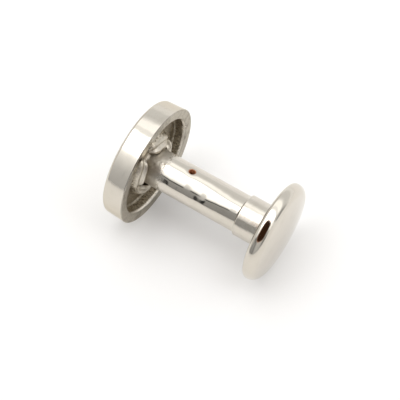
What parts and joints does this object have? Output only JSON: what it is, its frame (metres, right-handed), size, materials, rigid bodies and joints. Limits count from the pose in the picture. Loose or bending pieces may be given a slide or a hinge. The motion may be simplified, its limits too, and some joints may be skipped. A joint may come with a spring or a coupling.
{
  "type": "cap rivet",
  "caption": "Double-cap rivet in plated metal: a thick-walled round head with a staked hollow post, and a smaller domed cap whose collar slips over the post's neck.",
  "frame": {"origin": "centre of the head's closed face, which the rivet stands on", "axes": "+Z along the post from the head to the cap; +X and +Y across the post"},
  "size_m": [0.01, 0.01, 0.0134],
  "materials": {
    "head_plating": "bright nickel plating on a die casting, tarnished in the recess",
    "post_plating": "bright nickel plating on a drawn tube, slightly wavy",
    "socket_plating": "bright nickel plating on a drawn collar",
    "cap_plating": "polished nickel plating on a stamped dome"
  },
  "bodies": {
    "stud": {"head": "head_plating", "post": "post_plating"},
    "cap": {"socket": "socket_plating", "cap_shell": "cap_plating"}
  },
  "joints": [
    {"name": "cap_slide", "type": "slide", "parent": "stud", "child": "cap", "axis": [0, 0, 1], "range_m": [0, 0.012]}
  ]
}
